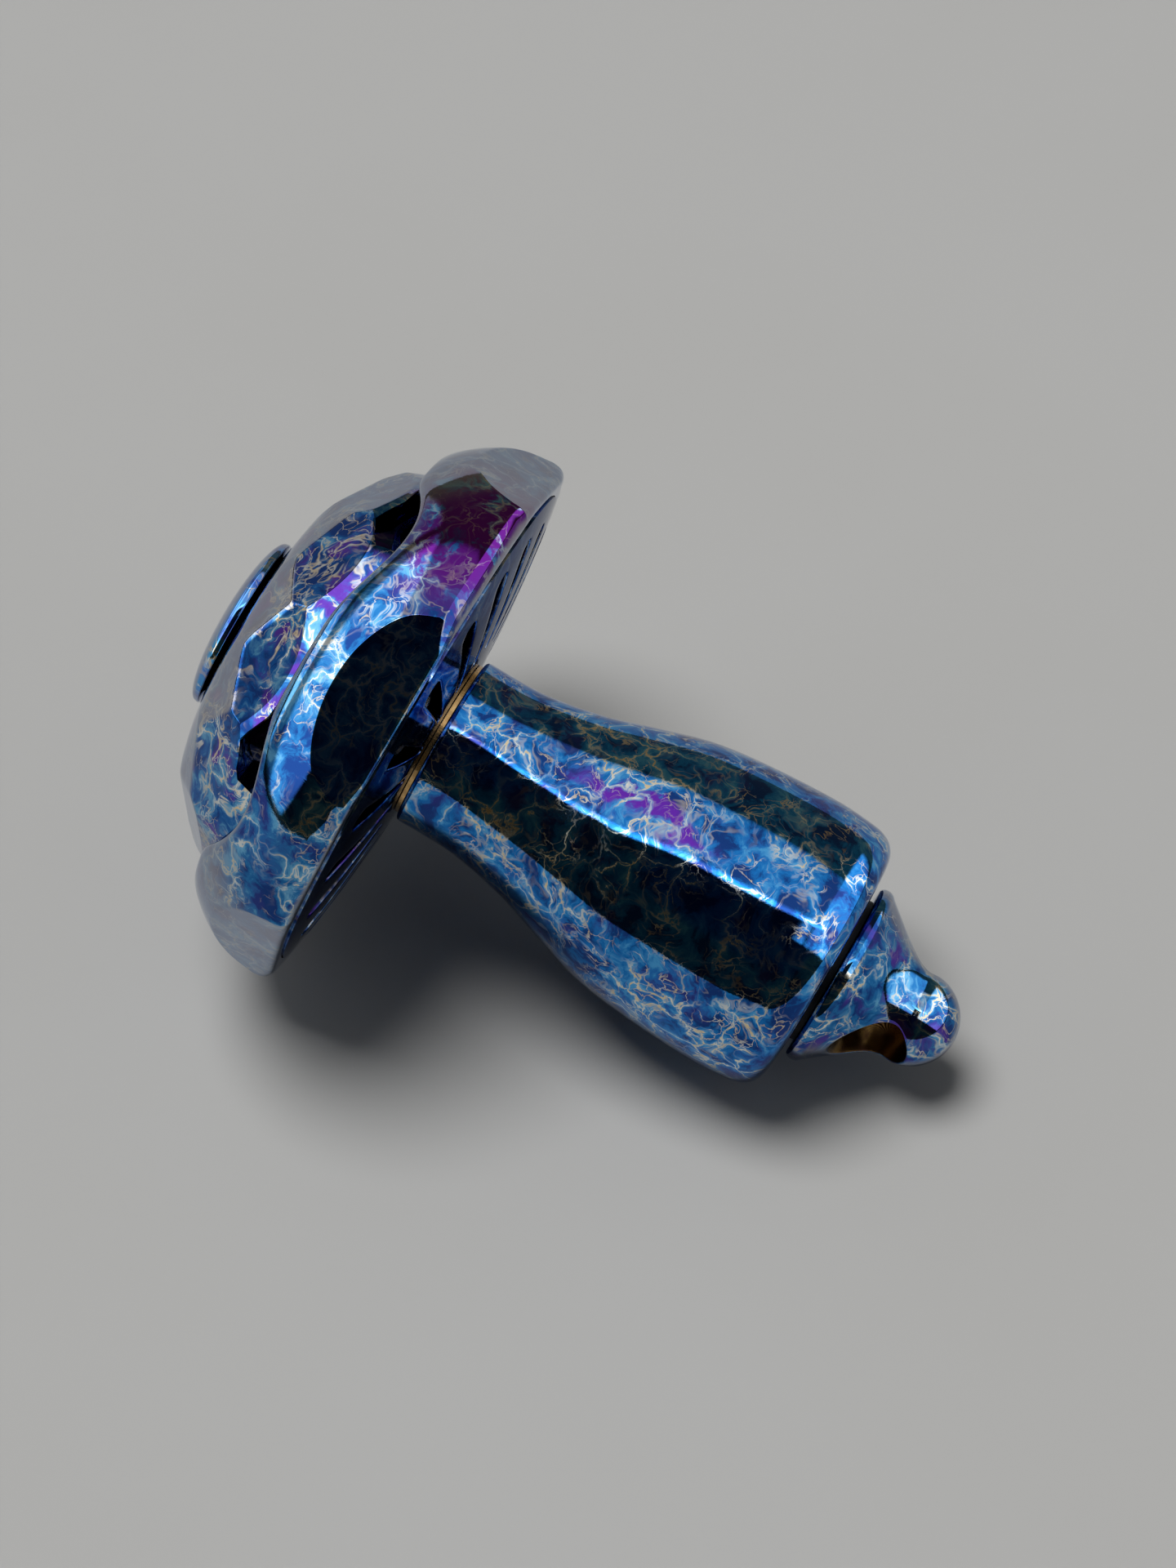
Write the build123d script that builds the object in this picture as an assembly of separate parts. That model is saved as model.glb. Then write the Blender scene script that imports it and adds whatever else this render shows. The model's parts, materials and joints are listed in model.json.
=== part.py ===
from build123d import *
import os
from math import cos, radians, sin, tan

# A pocket spinner in the shape of a mushroom. Millimetres, +Z up along the turning axis, with the tip of
# the tail knob on the axis at z = 0. The cap's first lobe faces -Y.

# Heights of the visible stack
TAIL_TOP = 8.3
STEM_BASE = 8.7
STEM_TOP = 35.2
CAP_BASE = 35.5
RIM_Z = 36.75
CROWN_BASE = 48.75
CROWN_TOP = 50.05

# Cap
LOBES = 5
LOBE_STEP = 360 / LOBES
FIRST_LOBE = -90
SKIRT_R = 17.6
FLAT_APOTHEM = SKIRT_R * cos(radians(19))
LIP_R = 15.9
CREST_HEIGHT = 6.9
DIP_HEIGHT = 5.45
BOWL_R = 13.5
BOWL_FLOOR = RIM_Z + 4.2
WEB_BOTTOM = BOWL_FLOOR - 1.0
PETAL_R = 13.5
KITE_TURN = -5.4
OPENING_TURN = -27
GILL_COUNT = 20
CROWN_R = 5.4

# Stem and neck
NECK_R = 5.4
BELLY_R = 8.83
END_ROUND = 2.0
PLUG_R = 6.9
PLUG_TOP = 12.2

# Axle and bearing: a standard 6.35 x 12.70 x 4.763 mm ball bearing
BEARING_BORE_R = 3.175
BEARING_R = 6.35
BEARING_BASE = 37.8
BEARING_WIDTH = 4.763
BEARING_TOP = BEARING_BASE + BEARING_WIDTH
BALL_R = 0.794
BALL_COUNT = 10
PITCH_R = (BEARING_BORE_R + BEARING_R) / 2
INNER_RACE_R = 4.3
OUTER_RACE_R = 5.2
AXLE_THREAD_R = 2.5
COLLAR_R = 3.9
CROWN_THREAD_R = 2.0
BOSS_R = 3.6
HUB_R = 8.2
HUB_SHOULDER_R = 9.2
HUB_BASE = 36.5
HUB_TOP = 44.0

# Tail swivel
SHANK_R = 1.5
SHANK_TOP = 15.6
BUSH_R = 2.3
TAIL_TIP_R = 2.93
TAIL_DISC_R = 5.78
CORD_HOLE_R = 2.1
CORD_HOLE_Z = 4.2
CORD_HOLE_AZIMUTH = 210

RUNNING = 0.04


def turned(outline):
    """Solid of revolution about Z of a closed outline drawn as (radius, height)."""
    return revolve(make_face(Plane.XZ * outline), Axis.Z)


def turned_points(*points):
    return turned(Polyline(*points, close=True))


def ring(inner, outer, low, high):
    return turned_points((inner, low), (outer, low), (outer, high), (inner, high))


def disc(radius, low, high):
    return Pos(0, 0, low) * Cylinder(radius, high - low, align=(Align.CENTER, Align.CENTER, Align.MIN))


def around(shape, count, start):
    """Copies of a shape that sits on +X, turned about Z from the start angle in equal steps."""
    return [Rot(0, 0, start + step * 360 / count) * shape for step in range(count)]


def torus(major, minor, height):
    return Pos(0, 0, height) * Torus(major, minor)


# Stem, which is the fixed body

def stem_shell():
    bore = PLUG_R
    wall = 1.9
    outside = Spline((NECK_R, STEM_TOP - 0.3), (5.45, 31.4), (6.1, 27.8), (7.0, 24.9), (8.1, 21.2),
                     (8.6, 17.4), (BELLY_R, 13.1), (8.7, STEM_BASE + END_ROUND), tangents=[(0, -1), (-0.12, -1)])
    corner = ThreePointArc((8.7, STEM_BASE + END_ROUND), (8.12, STEM_BASE + 0.52), (7.0, STEM_BASE))
    inside = Spline((bore, PLUG_TOP + 0.8), (8.6 - wall, 17.4), (8.0 - wall, 21.2), (5.0, 24.9), (4.2, 28.4))
    rest = Polyline((4.2, 28.4), (3.4, 29.6), (AXLE_THREAD_R, 29.6), (AXLE_THREAD_R, STEM_TOP),
                    (NECK_R - 0.3, STEM_TOP), (NECK_R, STEM_TOP - 0.3))
    foot = Polyline((7.0, STEM_BASE), (bore, STEM_BASE), (bore, PLUG_TOP + 0.8))
    return turned(outside + corner + foot + inside + rest)


def stem_plug():
    groove_low = 10.6
    groove_high = 11.6
    groove_r = 6.0
    return turned_points((BUSH_R, STEM_BASE), (PLUG_R, STEM_BASE), (PLUG_R, groove_low), (groove_r, groove_low),
                         (groove_r, groove_high), (PLUG_R, groove_high), (PLUG_R, PLUG_TOP), (BUSH_R, PLUG_TOP))


def plug_o_ring():
    return torus(6.45, 0.43, 11.1)


def swivel_bush():
    flange_r = 3.4
    flange_top = PLUG_TOP + 0.6
    bore = SHANK_R + RUNNING
    return turned_points((bore, STEM_BASE), (BUSH_R, STEM_BASE), (BUSH_R, PLUG_TOP), (flange_r, PLUG_TOP),
                         (flange_r, flange_top), (bore, flange_top))


def neck_washer():
    return ring(COLLAR_R, NECK_R - 0.4, STEM_TOP, CAP_BASE - 0.05)


def axle_post():
    steps = (
        disc(AXLE_THREAD_R, 29.8, STEM_TOP)
        + disc(COLLAR_R, STEM_TOP, BEARING_BASE)
        + disc(BEARING_BORE_R, BEARING_BASE, BEARING_TOP)
        + disc(CROWN_THREAD_R, BEARING_TOP, CROWN_BASE)
    )
    return steps


def crown_button():
    edge_round = 0.35
    dome_r = CROWN_R - edge_round
    dome_rise = 1.0
    edge_top = CROWN_TOP - dome_rise
    dome = SagittaArc((-dome_r, edge_top), (dome_r, edge_top), dome_rise)
    head = make_face(Plane.XZ * (dome + Line((dome_r, edge_top), (-dome_r, edge_top))))
    cut = Plane.XZ * (Pos(dome_r, CROWN_TOP) * Rectangle(2 * dome_r, 4))
    cap = revolve(head & cut, Axis.Z)
    rim = ThreePointArc((CROWN_R - 0.15, CROWN_BASE), (CROWN_R, (CROWN_BASE + edge_top) / 2), (dome_r, edge_top))
    slab = turned(rim + Polyline((dome_r, edge_top), (0, edge_top), (0, CROWN_BASE), (CROWN_R - 0.15, CROWN_BASE)))
    return cap + slab + ring(CROWN_THREAD_R, BOSS_R, BEARING_TOP, CROWN_BASE)


# Ball bearing between the axle and the cap

def race_groove():
    return torus(PITCH_R, BALL_R + 0.03, (BEARING_BASE + BEARING_TOP) / 2)


def bearing_inner_race():
    return ring(BEARING_BORE_R, INNER_RACE_R, BEARING_BASE, BEARING_TOP) - race_groove()


def bearing_outer_race():
    return ring(OUTER_RACE_R, BEARING_R, BEARING_BASE, BEARING_TOP) - race_groove()


def bearing_balls():
    middle = (BEARING_BASE + BEARING_TOP) / 2
    return around(Pos(PITCH_R, 0, middle) * Sphere(BALL_R), BALL_COUNT, 0)


def bearing_cage():
    middle = (BEARING_BASE + BEARING_TOP) / 2
    half_height = 1.05
    band = ring(INNER_RACE_R + 0.12, OUTER_RACE_R - 0.12, middle - half_height, middle + half_height)
    pocket = Pos(PITCH_R, 0, middle) * Rot(0, 90, 0) * Cylinder(BALL_R + 0.02, 2)
    for hole in around(pocket, BALL_COUNT, 0):
        band -= hole
    return band


def bearing_shields():
    thickness = 0.2
    inset = 0.08
    low = ring(INNER_RACE_R + 0.08, OUTER_RACE_R, BEARING_BASE + inset, BEARING_BASE + inset + thickness)
    high = ring(INNER_RACE_R + 0.08, OUTER_RACE_R, BEARING_TOP - inset - thickness, BEARING_TOP - inset)
    return [low, high]


# Cap, which spins on the bearing

def cap_hub():
    floor_hole = 5.0
    return turned_points((floor_hole, HUB_BASE), (HUB_SHOULDER_R, HUB_BASE), (HUB_SHOULDER_R, WEB_BOTTOM),
                         (HUB_R, WEB_BOTTOM), (HUB_R, HUB_TOP), (BEARING_R, HUB_TOP), (BEARING_R, BEARING_BASE),
                         (floor_hole, BEARING_BASE))


def bearing_retainer():
    return ring(OUTER_RACE_R + 0.3, BEARING_R, BEARING_TOP, HUB_TOP - 0.2)


def gill_slot():
    """Tapered slot along +X, wide and round at its outer end."""
    outer_end = Pos(13.5, 0) * Circle(0.78)
    inner_end = Pos(6.9, 0) * Circle(0.22)
    outline = make_hull(outer_end.edges() + inner_end.edges())
    return Pos(0, 0, CAP_BASE - 1) * extrude(outline, amount=6)


def gill_plate():
    axle_hole = 4.2
    land_r = HUB_SHOULDER_R
    seat = RIM_Z + 1.05
    underside = ThreePointArc((NECK_R, CAP_BASE), (11, CAP_BASE + 0.37), (LIP_R, RIM_Z - 0.15))
    rest = Polyline((LIP_R, RIM_Z - 0.15), (LIP_R, seat), (LIP_R - 0.9, seat), (land_r + 0.6, HUB_BASE),
                    (axle_hole, HUB_BASE), (axle_hole, CAP_BASE), (NECK_R, CAP_BASE))
    plate = turned(underside + rest)
    for slot in around(gill_slot(), GILL_COUNT, FIRST_LOBE):
        plate -= slot
    return plate


def skirt_blank():
    """The skirt before its lobes are cut: a rounded ring over a web that slides on the hub."""
    foot_r = 17.45
    seat = 1.05
    outside = Spline((foot_r, 0), (SKIRT_R, 1.2), (17.3, 2.9), (16.5, 4.6), (15.35, 6.1), (14.35, CREST_HEIGHT))
    top = ThreePointArc((14.35, CREST_HEIGHT), (14.05, CREST_HEIGHT + 0.05), (13.9, CREST_HEIGHT - 0.2))
    web_low = WEB_BOTTOM - RIM_Z
    web_high = BOWL_FLOOR - RIM_Z
    inside = Polyline((13.9, CREST_HEIGHT - 0.2), (BOWL_R, web_high), (HUB_R, web_high), (HUB_R, web_low),
                      (12.6, web_low), (LIP_R - 0.9, seat), (LIP_R, seat), (LIP_R, 0), (foot_r, 0))
    return Pos(0, 0, RIM_Z) * turned(outside + top + inside)


def lobe_flat():
    """Block that cuts one arch-shaped flat, seen along +X."""
    depth = 4
    return Pos(FLAT_APOTHEM + depth / 2, 0, RIM_Z + 4) * Box(depth, 24, 12)


def lobe_dip():
    """Cylinder that scoops the top edge between two lobes, sloping down to the bowl, seen along +X."""
    scoop_r = 14
    slope = 25
    edge_r = 15.7
    length = 9.2
    scoop = Rot(0, 90 - slope, 0) * Cylinder(scoop_r, length, align=(Align.CENTER, Align.CENTER, Align.MAX))
    lift = scoop_r / cos(radians(slope))
    return Pos(edge_r, 0, RIM_Z + DIP_HEIGHT + lift) * scoop


def skirt_ring():
    skirt = skirt_blank()
    for flat in around(lobe_flat(), LOBES, FIRST_LOBE):
        skirt -= flat
    for dip in around(lobe_dip(), LOBES, FIRST_LOBE + LOBE_STEP / 2):
        skirt -= dip
    rim = [edge for edge in skirt.edges().group_by(Axis.Z)[0] if edge.bounding_box().diagonal < 2 * LIP_R]
    return fillet(rim, 0.45)


def dome_blank():
    """The dome before it is faceted: a shell with a collar that screws onto the hub."""
    collar_r = 9.4
    hole_r = 3.9
    outside = Polyline((12.6, 5.3), (PETAL_R, 6.1), (12.78, 8.0), (10.9, 9.95), (8.3, 11.3), (6.3, 11.7),
                       (hole_r, 11.75))
    inside = Polyline((hole_r, 11.75), (hole_r, 10.4), (7.0, 10.2), (collar_r - 1.2, 9.2), (HUB_R, 4.2), (collar_r, 4.2),
                      (collar_r, 7.2), (11.3, 6.4), (12.0, 5.3), (12.6, 5.3))
    return Pos(0, 0, RIM_Z) * turned(outside + inside)


def facet_cone(apothem, low, slope, turn):
    """Ten-sided pyramid stump whose first flat faces the turn angle. Its sides lean in by the slope."""
    height = 0.9 * apothem / tan(radians(slope))
    base = Rot(0, 0, turn + 18) * RegularPolygon(apothem, 2 * LOBES, major_radius=False)
    return Pos(0, 0, RIM_Z + low) * extrude(base, amount=height, taper=slope)


def petal_opening():
    """Peaked notch between two petals, seen along +X."""
    outline = Polyline((-2.1, 4.5), (2.4, 4.5), (2.4, 6.75), (0, 7.35), (-2.1, 6.65), close=True)
    face = make_face(Plane.YZ * outline)
    return Pos(9.8, 0, RIM_Z) * extrude(face, amount=5)


def petal_dome():
    start = FIRST_LOBE + KITE_TURN
    shoulder = 7.3
    kites = disc(20, RIM_Z, RIM_Z + shoulder) + facet_cone(12.95, shoulder, 43.6, start)
    stars = disc(20, RIM_Z, RIM_Z + shoulder) + facet_cone(14.9, shoulder, 59, start + 18)
    dome = dome_blank() & kites & stars
    for opening in around(petal_opening(), LOBES, FIRST_LOBE + OPENING_TURN):
        dome -= opening
    return dome


# Tail knob, which swivels in the stem's plug

def tail_knob():
    neck_r = 3.0
    tip = ThreePointArc((0, 0), (TAIL_TIP_R * sin(radians(45)), TAIL_TIP_R * (1 - cos(radians(45)))),
                        (TAIL_TIP_R, TAIL_TIP_R))
    flare = Spline((TAIL_TIP_R, TAIL_TIP_R), (neck_r, 3.5), (3.35, 4.4), (4.0, 5.4), (4.9, 6.55), (5.5, 7.3))
    bead = ThreePointArc((5.5, 7.3), (TAIL_DISC_R, 7.8), (5.45, TAIL_TOP))
    shank = Polyline((5.45, TAIL_TOP), (SHANK_R, TAIL_TOP), (SHANK_R, SHANK_TOP), (0, SHANK_TOP), (0, 0))
    knob = turned(tip + flare + bead + shank)
    hole = Pos(0, 0, CORD_HOLE_Z) * Rot(0, 0, CORD_HOLE_AZIMUTH) * Rot(0, 90, 0) * Cylinder(CORD_HOLE_R, 14)
    return knob - hole


def tail_seal():
    return ring(SHANK_R + 0.7, 4.7, TAIL_TOP, STEM_BASE - RUNNING)


def swivel_washer():
    low = PLUG_TOP + 0.6 + RUNNING
    return ring(SHANK_R, 3.2, low, low + 0.4)


def swivel_nut():
    low = PLUG_TOP + 1.0 + RUNNING
    across_flats = 5.5
    blank = extrude(Pos(0, 0, low) * RegularPolygon(across_flats / 2, 6, major_radius=False), amount=2)
    return blank - disc(SHANK_R, low - 1, low + 3)


PIECES = [
    stem_shell, stem_plug, plug_o_ring, swivel_bush, neck_washer, axle_post, crown_button, bearing_inner_race,
    bearing_outer_race, bearing_balls, bearing_cage, bearing_shields, cap_hub, bearing_retainer, gill_plate,
    skirt_ring, petal_dome, tail_knob, tail_seal, swivel_washer, swivel_nut,
]

os.makedirs("parts", exist_ok=True)
for piece in PIECES:
    made = piece()
    shape = Compound(children=made) if isinstance(made, list) else made
    export_step(shape, f"parts/{piece.__name__}.step")
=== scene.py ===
"""Looks for the mushroom pocket spinner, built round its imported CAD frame.

Outlines are written in millimetres as (radius, height) and turned about Z; meshes are made in metres.
Azimuths are in degrees. Azimuth 0 is -Y, the side the camera sees, and they grow towards +X.
"""
import json
from collections import namedtuple
from math import asin, cos, degrees, pi, radians, sin, sqrt, tan

import bmesh
import bpy
from mathutils import Matrix, Vector


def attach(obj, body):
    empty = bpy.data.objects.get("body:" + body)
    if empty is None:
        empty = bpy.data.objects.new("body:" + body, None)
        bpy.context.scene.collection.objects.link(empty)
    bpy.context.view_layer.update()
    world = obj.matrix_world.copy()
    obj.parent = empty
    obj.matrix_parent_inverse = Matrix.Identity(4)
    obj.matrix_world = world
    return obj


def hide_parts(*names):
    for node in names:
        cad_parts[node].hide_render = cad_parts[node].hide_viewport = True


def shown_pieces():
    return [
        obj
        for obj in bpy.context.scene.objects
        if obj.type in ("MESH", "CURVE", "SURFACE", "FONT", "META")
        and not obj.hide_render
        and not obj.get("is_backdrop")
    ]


MM = 0.001
SHARP_ANGLE = radians(34)

# Heights and radii shared with the CAD pieces
RIM_Z = 36.75
STEM_BASE = 8.7
STEM_TOP = 35.2
NECK_R = 5.4
CAP_BASE = 35.5
SKIRT_R = 17.6
LOBE_STEP = 72
LIP_R = 15.9
LIP_SEAT = 1.05
CREST_HEIGHT = 6.9
DIP_HEIGHT = 5.45
BOWL_R = 13.5
BOWL_FLOOR = 4.2
HUB_R = 8.2
HUB_SHOULDER_R = 9.2
CROWN_R = 5.4
CROWN_BASE = 48.75
CROWN_TOP = 50.05
TAIL_TOP = 8.3
CORD_HOLE_R = 2.1
CORD_HOLE_Z = 4.2
CORD_HOLE_ANGLE = 210  # degrees from +X, as in the CAD

# The flats reach one degree further to each side than in the CAD
FLAT_HALF = 20
FLAT_APOTHEM = SKIRT_R * cos(radians(FLAT_HALF))

# Floor and camera, in the object's frame
FLOOR_NORMAL = Vector((0.5345, -0.7865, 0.309)).normalized()
FLOOR_HALF_SIZE = 1.5
CAMERA_TARGET = Vector((2.18, 0, 26.4))
CAMERA_DISTANCE = 300
CAMERA_ELEVATION = -1.3
CAMERA_ROLL = -59.5
CAMERA_LENS = 116.2


# Curves

def catmull_rom(p, q, r, s, t):
    """Value between q and r on the smooth curve through all four."""
    square = (2 * p - 5 * q + 4 * r - s) * t ** 2
    cube = (3 * q - p - 3 * r + s) * t ** 3
    return 0.5 * (2 * q + (r - p) * t + square + cube)


def smooth(points, steps):
    """Points along a Catmull-Rom curve through the given points, with this many steps between neighbours."""
    ends = [points[0]] + list(points) + [points[-1]]
    made = []
    for a, b, c, d in zip(ends, ends[1:], ends[2:], ends[3:]):
        for step in range(steps):
            made.append(tuple(catmull_rom(p, q, r, s, step / steps) for p, q, r, s in zip(a, b, c, d)))
    return made + [tuple(points[-1])]


def bend(a, corner, b, steps):
    """Points of a quadratic curve from a to b that starts and ends along the lines to the corner."""
    made = []
    for step in range(steps + 1):
        t = step / steps
        made.append(tuple((1 - t) ** 2 * p + 2 * t * (1 - t) * q + t ** 2 * r
                          for p, q, r in zip(a, corner, b)))
    return made


def straight(a, b, steps):
    return [tuple(p + (q - p) * step / steps for p, q in zip(a, b)) for step in range(steps + 1)]


def ease(t):
    """Smooth step from 0 to 1."""
    t = min(max(t, 0), 1)
    return t * t * (3 - 2 * t)


def table_value(pairs, x):
    """Straight-line interpolation in a short list of (x, value) pairs."""
    for (x0, v0), (x1, v1) in zip(pairs, pairs[1:]):
        if x <= x1:
            return v0 + (v1 - v0) * max(x - x0, 0) / (x1 - x0)
    return pairs[-1][1]


def last_that_holds(low, high, holds):
    """Where a condition that holds at the low end stops holding, found by halving the range."""
    for _ in range(30):
        middle = (low + high) / 2
        if holds(middle):
            low = middle
        else:
            high = middle
    return low


# Meshes

def place(radius, azimuth, height):
    a = radians(azimuth - 90)
    return Vector((radius * cos(a), radius * sin(a), height)) * MM


def smooth_shaded(mesh):
    mesh.shade_smooth()
    mesh.set_sharp_from_angle(angle=SHARP_ANGLE)


def finished(name, bm, material, body, node):
    """Welds, orients and smooths a mesh, and makes it stand for a CAD node."""
    bmesh.ops.remove_doubles(bm, verts=bm.verts, dist=1e-7)
    bmesh.ops.dissolve_degenerate(bm, edges=bm.edges, dist=1e-8)
    bmesh.ops.recalc_face_normals(bm, faces=bm.faces)
    mesh = bpy.data.meshes.new(name)
    bm.to_mesh(mesh)
    bm.free()
    smooth_shaded(mesh)
    mesh.materials.append(material)
    piece = bpy.data.objects.new(name, mesh)
    bpy.context.scene.collection.objects.link(piece)
    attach(piece, body)
    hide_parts(node)
    return piece


def turned(azimuths, outline_at):
    """Closed mesh of an outline that may change with azimuth. Every outline has the same number of points."""
    bm = bmesh.new()
    columns = [[bm.verts.new(place(r, az, z)) for r, z in outline_at(az)] for az in azimuths]
    for here, after in zip(columns, columns[1:] + columns[:1]):
        for k in range(len(here)):
            j = (k + 1) % len(here)
            bm.faces.new((here[k], after[k], after[j], here[j]))
    return bm


def all_round(count):
    return [step * 360 / count for step in range(count)]


# Skirt: lower tier of the cap. Its heights are measured from the rim.

SKIRT_SHOULDER = 1.2
SKIRT_SIDE = smooth([(SKIRT_R, SKIRT_SHOULDER), (17.3, 2.9), (16.5, 4.6), (15.35, 6.1),
                     (14.35, CREST_HEIGHT)], 10)
SKIRT_PROFILE = [(0, SKIRT_R), (SKIRT_SHOULDER, SKIRT_R)] + [(z, r) for r, z in SKIRT_SIDE[1:]]
SKIRT_WALL = 0.42
CREST_LEVEL_HALF = 9
RIM_ROUND = 0.45
RIM_ROUND_EXTRA = 0.85
RIM_EASE_BEFORE = 6
RIM_EASE_SPAN = 9
LEAST_BELOW_ARCH = 0.3
ARCH_ROW_GAP = 0.07
TOP_ROUND_DEPTH = 0.28
BOWL_ROUND = 0.15
SEAT_GAP = 0.02


def skirt_radius(z):
    return table_value(SKIRT_PROFILE, z)


def crest_distance(azimuth):
    """Degrees from the middle of the nearest lobe."""
    return abs((azimuth + LOBE_STEP / 2) % LOBE_STEP - LOBE_STEP / 2)


def skirt_edge_height(azimuth):
    """Height of the wavy top edge: level at each crest, lowest between two lobes."""
    t = (crest_distance(azimuth) - CREST_LEVEL_HALF) / (LOBE_STEP / 2 - CREST_LEVEL_HALF)
    wave = 1 if t < 0 else 0.5 * (1 + cos(pi * t))
    return DIP_HEIGHT + (CREST_HEIGHT - DIP_HEIGHT) * wave


def rim_rounding(azimuth):
    """Radius of the rounded lower rim: small under the flats, larger between them."""
    past_start = crest_distance(azimuth) - FLAT_HALF + RIM_EASE_BEFORE
    return RIM_ROUND + RIM_ROUND_EXTRA * ease(past_start / RIM_EASE_SPAN)


def flat_reach(azimuth):
    """Radius of the flat at an azimuth. Beyond the flat's end it stays at the end's radius."""
    return FLAT_APOTHEM / cos(radians(min(crest_distance(azimuth), FLAT_HALF)))


def flat_top(azimuth):
    """Height of the arch over a lobe's flat, or 0 between the flats."""
    if crest_distance(azimuth) >= FLAT_HALF:
        return 0
    reach = flat_reach(azimuth)
    return last_that_holds(SKIRT_SHOULDER, CREST_HEIGHT, lambda z: skirt_radius(z) > reach)


def skirt_side_heights(azimuth):
    """Heights of the side's points: even below and above the arch, with rows close to it on both sides."""
    rim_round = rim_rounding(azimuth)
    arch = max(flat_top(azimuth), rim_round + LEAST_BELOW_ARCH)
    gap = min(ARCH_ROW_GAP, (arch - rim_round) / 3)
    above = arch + 2 * ARCH_ROW_GAP
    top = skirt_edge_height(azimuth) - TOP_ROUND_DEPTH
    heights = [rim_round + (arch - gap * 2 - rim_round) * k / 12 for k in range(13)]
    heights += [arch - gap, arch + ARCH_ROW_GAP]
    heights += [above + (top - above) * k / 16 for k in range(17)]
    return heights


def skirt_outline(azimuth):
    """Round from the lip's underside: rim, side, top edge, bowl, hub bore and seat of the gill plate."""
    on_flat = crest_distance(azimuth) < FLAT_HALF
    reach = flat_reach(azimuth)

    def outer(z):
        return (min(reach, skirt_radius(z)) if on_flat else skirt_radius(z), z)

    rim_round = rim_rounding(azimuth)
    heights = skirt_side_heights(azimuth)
    edge = skirt_edge_height(azimuth)
    rim_r = outer(rim_round)[0]
    top_r = skirt_radius(edge)
    inner = (top_r - SKIRT_WALL, edge - 0.22)
    bowl = (BOWL_R, BOWL_FLOOR + 0.25)
    points = straight((LIP_R, 0), (rim_r - rim_round, 0), 3)
    points += bend((rim_r - rim_round, 0), (rim_r, 0), (rim_r, rim_round), 6)[1:]
    points += [outer(z) for z in heights[1:]]
    points += bend(outer(edge - TOP_ROUND_DEPTH), (top_r - 0.12, edge + 0.05), inner, 8)[1:]
    points += straight(inner, bowl, 8)[1:]
    points += bend(bowl, (BOWL_R - BOWL_ROUND, BOWL_FLOOR), (BOWL_R - 0.5, BOWL_FLOOR), 3)[1:]
    points += [(11, BOWL_FLOOR), (HUB_R + SEAT_GAP, BOWL_FLOOR), (HUB_R + SEAT_GAP, BOWL_FLOOR - 1)]
    points += [(12.6, BOWL_FLOOR - 1), (LIP_R - 0.9, LIP_SEAT + SEAT_GAP), (LIP_R, LIP_SEAT + SEAT_GAP)]
    return [(r, RIM_Z + z) for r, z in points]


def skirt_azimuths():
    """Close together at the ends of the flats, which turn a corner there."""
    flat = [FLAT_HALF * k / 26 for k in range(-25, 26)]
    corners = [sign * (FLAT_HALF + off) for sign in (-1, 1) for off in (-0.35, -0.15, 0, 0.2)]
    between = [FLAT_HALF + 0.8 + k * 0.8 for k in range(41)]
    lobe = flat + corners + between
    return sorted({round((crest + off) % 360, 4) for crest in range(0, 360, LOBE_STEP) for off in lobe})


def skirt(material):
    return finished("skirt", turned(skirt_azimuths(), skirt_outline), material, "cap", "skirt_ring")


# Petal dome: upper tier of the cap. Its heights are measured from the rim.

Facet = namedtuple("Facet", "apothem base slope turn")
FACET_STEP = 36
KITE = Facet(12.95, 7.3, 1.05, -5.4)
STAR = Facet(14.9, 7.3, 0.6, KITE.turn + FACET_STEP / 2)
CROWN_SEAT_R = 8.35
CROWN_SEAT_Z = 11.2
CROWN_SEAT_SLOPE = 0.2
DOME_HOLE_R = 3.95
PETAL_COUNT = 5
PETAL_END = -36
PETAL_LOWEST = 5.0
PETAL_EDGE = [(0, 6.75), (4, 7.3), (9, 7.75), (13, 7.45), (19.4, 6.85), (31, 6.5), (46, 6.1), (62, 5.35),
              (72, 5.2)]
BEVEL_R = 13.15
BEVEL_Z = 7.1
BEVEL_SLOPE = 2.4
NOTCH_R = 11.9
NOTCH_TOP = 8


def soft_min(a, b, width):
    """The lower of two heights, with the crease between them rounded."""
    h = max(width - abs(a - b), 0) / width
    return min(a, b) - h * h * width / 4


def facet_height(facet, radius, azimuth):
    """Height of ten flat facets all round that lean inwards."""
    off = (azimuth - facet.turn + FACET_STEP / 2) % FACET_STEP - FACET_STEP / 2
    return facet.base + (facet.apothem - radius * cos(radians(off))) * facet.slope


def dome_height(radius, azimuth):
    """Height of the faceted top over the rim at a radius."""
    crown_seat = CROWN_SEAT_Z + (CROWN_SEAT_R - radius) * CROWN_SEAT_SLOPE
    facets = soft_min(facet_height(KITE, radius, azimuth), facet_height(STAR, radius, azimuth), 0.12)
    return soft_min(facets, crown_seat, 0.5)


def petal_edge_height(azimuth):
    return table_value(PETAL_EDGE, (azimuth - PETAL_END) % LOBE_STEP)


def bevel_radius(z):
    return BEVEL_R - (z - BEVEL_Z) / BEVEL_SLOPE


def bevel_meeting(azimuth):
    """Radius at which the faceted top meets the bevelled side."""
    def is_top_lower(radius):
        return dome_height(radius, azimuth) <= BEVEL_Z + (BEVEL_R - radius) * BEVEL_SLOPE

    return last_that_holds(11.5, 14.0, is_top_lower)


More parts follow.
